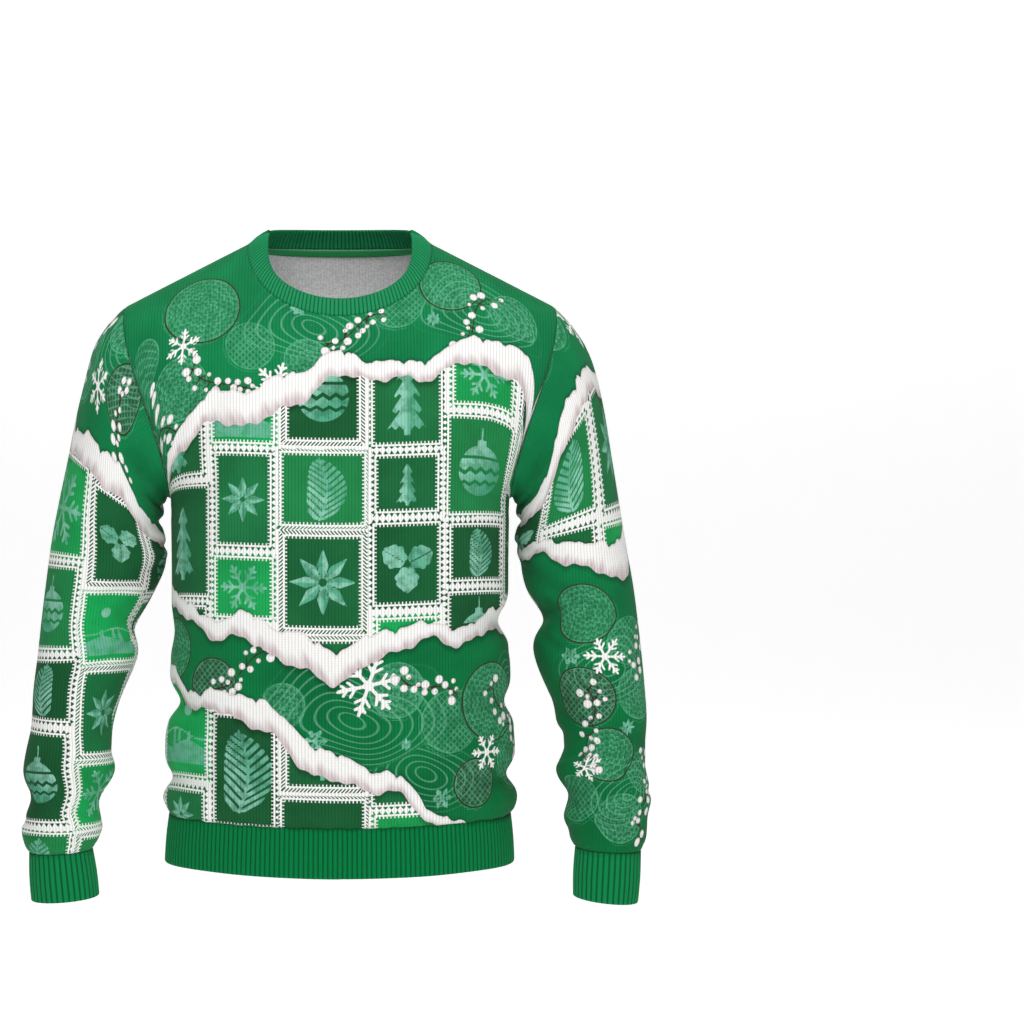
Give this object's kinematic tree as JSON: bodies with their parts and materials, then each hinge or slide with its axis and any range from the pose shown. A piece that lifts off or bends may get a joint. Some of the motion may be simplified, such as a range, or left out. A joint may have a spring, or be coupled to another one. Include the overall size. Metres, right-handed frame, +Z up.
{
  "type": "crew-neck pullover sweater",
  "caption": "Crew-neck long-sleeved knit pullover with rib neck band, hem and cuffs, filled out as if worn, hollow and open at neck, hem and cuffs.",
  "frame": {"origin": "midpoint between the two points where the shoulder seams meet the neck band, where the wearer's shoulders hold the sweater up", "axes": "+Z up, -Y the wearer's front, +X the wearer's left"},
  "size_m": [0.693, 0.2526, 0.7496],
  "materials": {
    "printed_knit": "fine jersey knit with a printed design, matte",
    "rib_knit": "1x1 rib knit, plain, matte",
    "neck_tape": "smooth woven tape, matte"
  },
  "bodies": {
    "root": {"front_panel": "printed_knit", "back_panel": "printed_knit", "left_sleeve": "printed_knit", "right_sleeve": "printed_knit", "neck_rib": "rib_knit", "neck_tape": "neck_tape", "hem_rib": "rib_knit", "left_cuff_rib": "rib_knit", "right_cuff_rib": "rib_knit"}
  },
  "joints": []
}
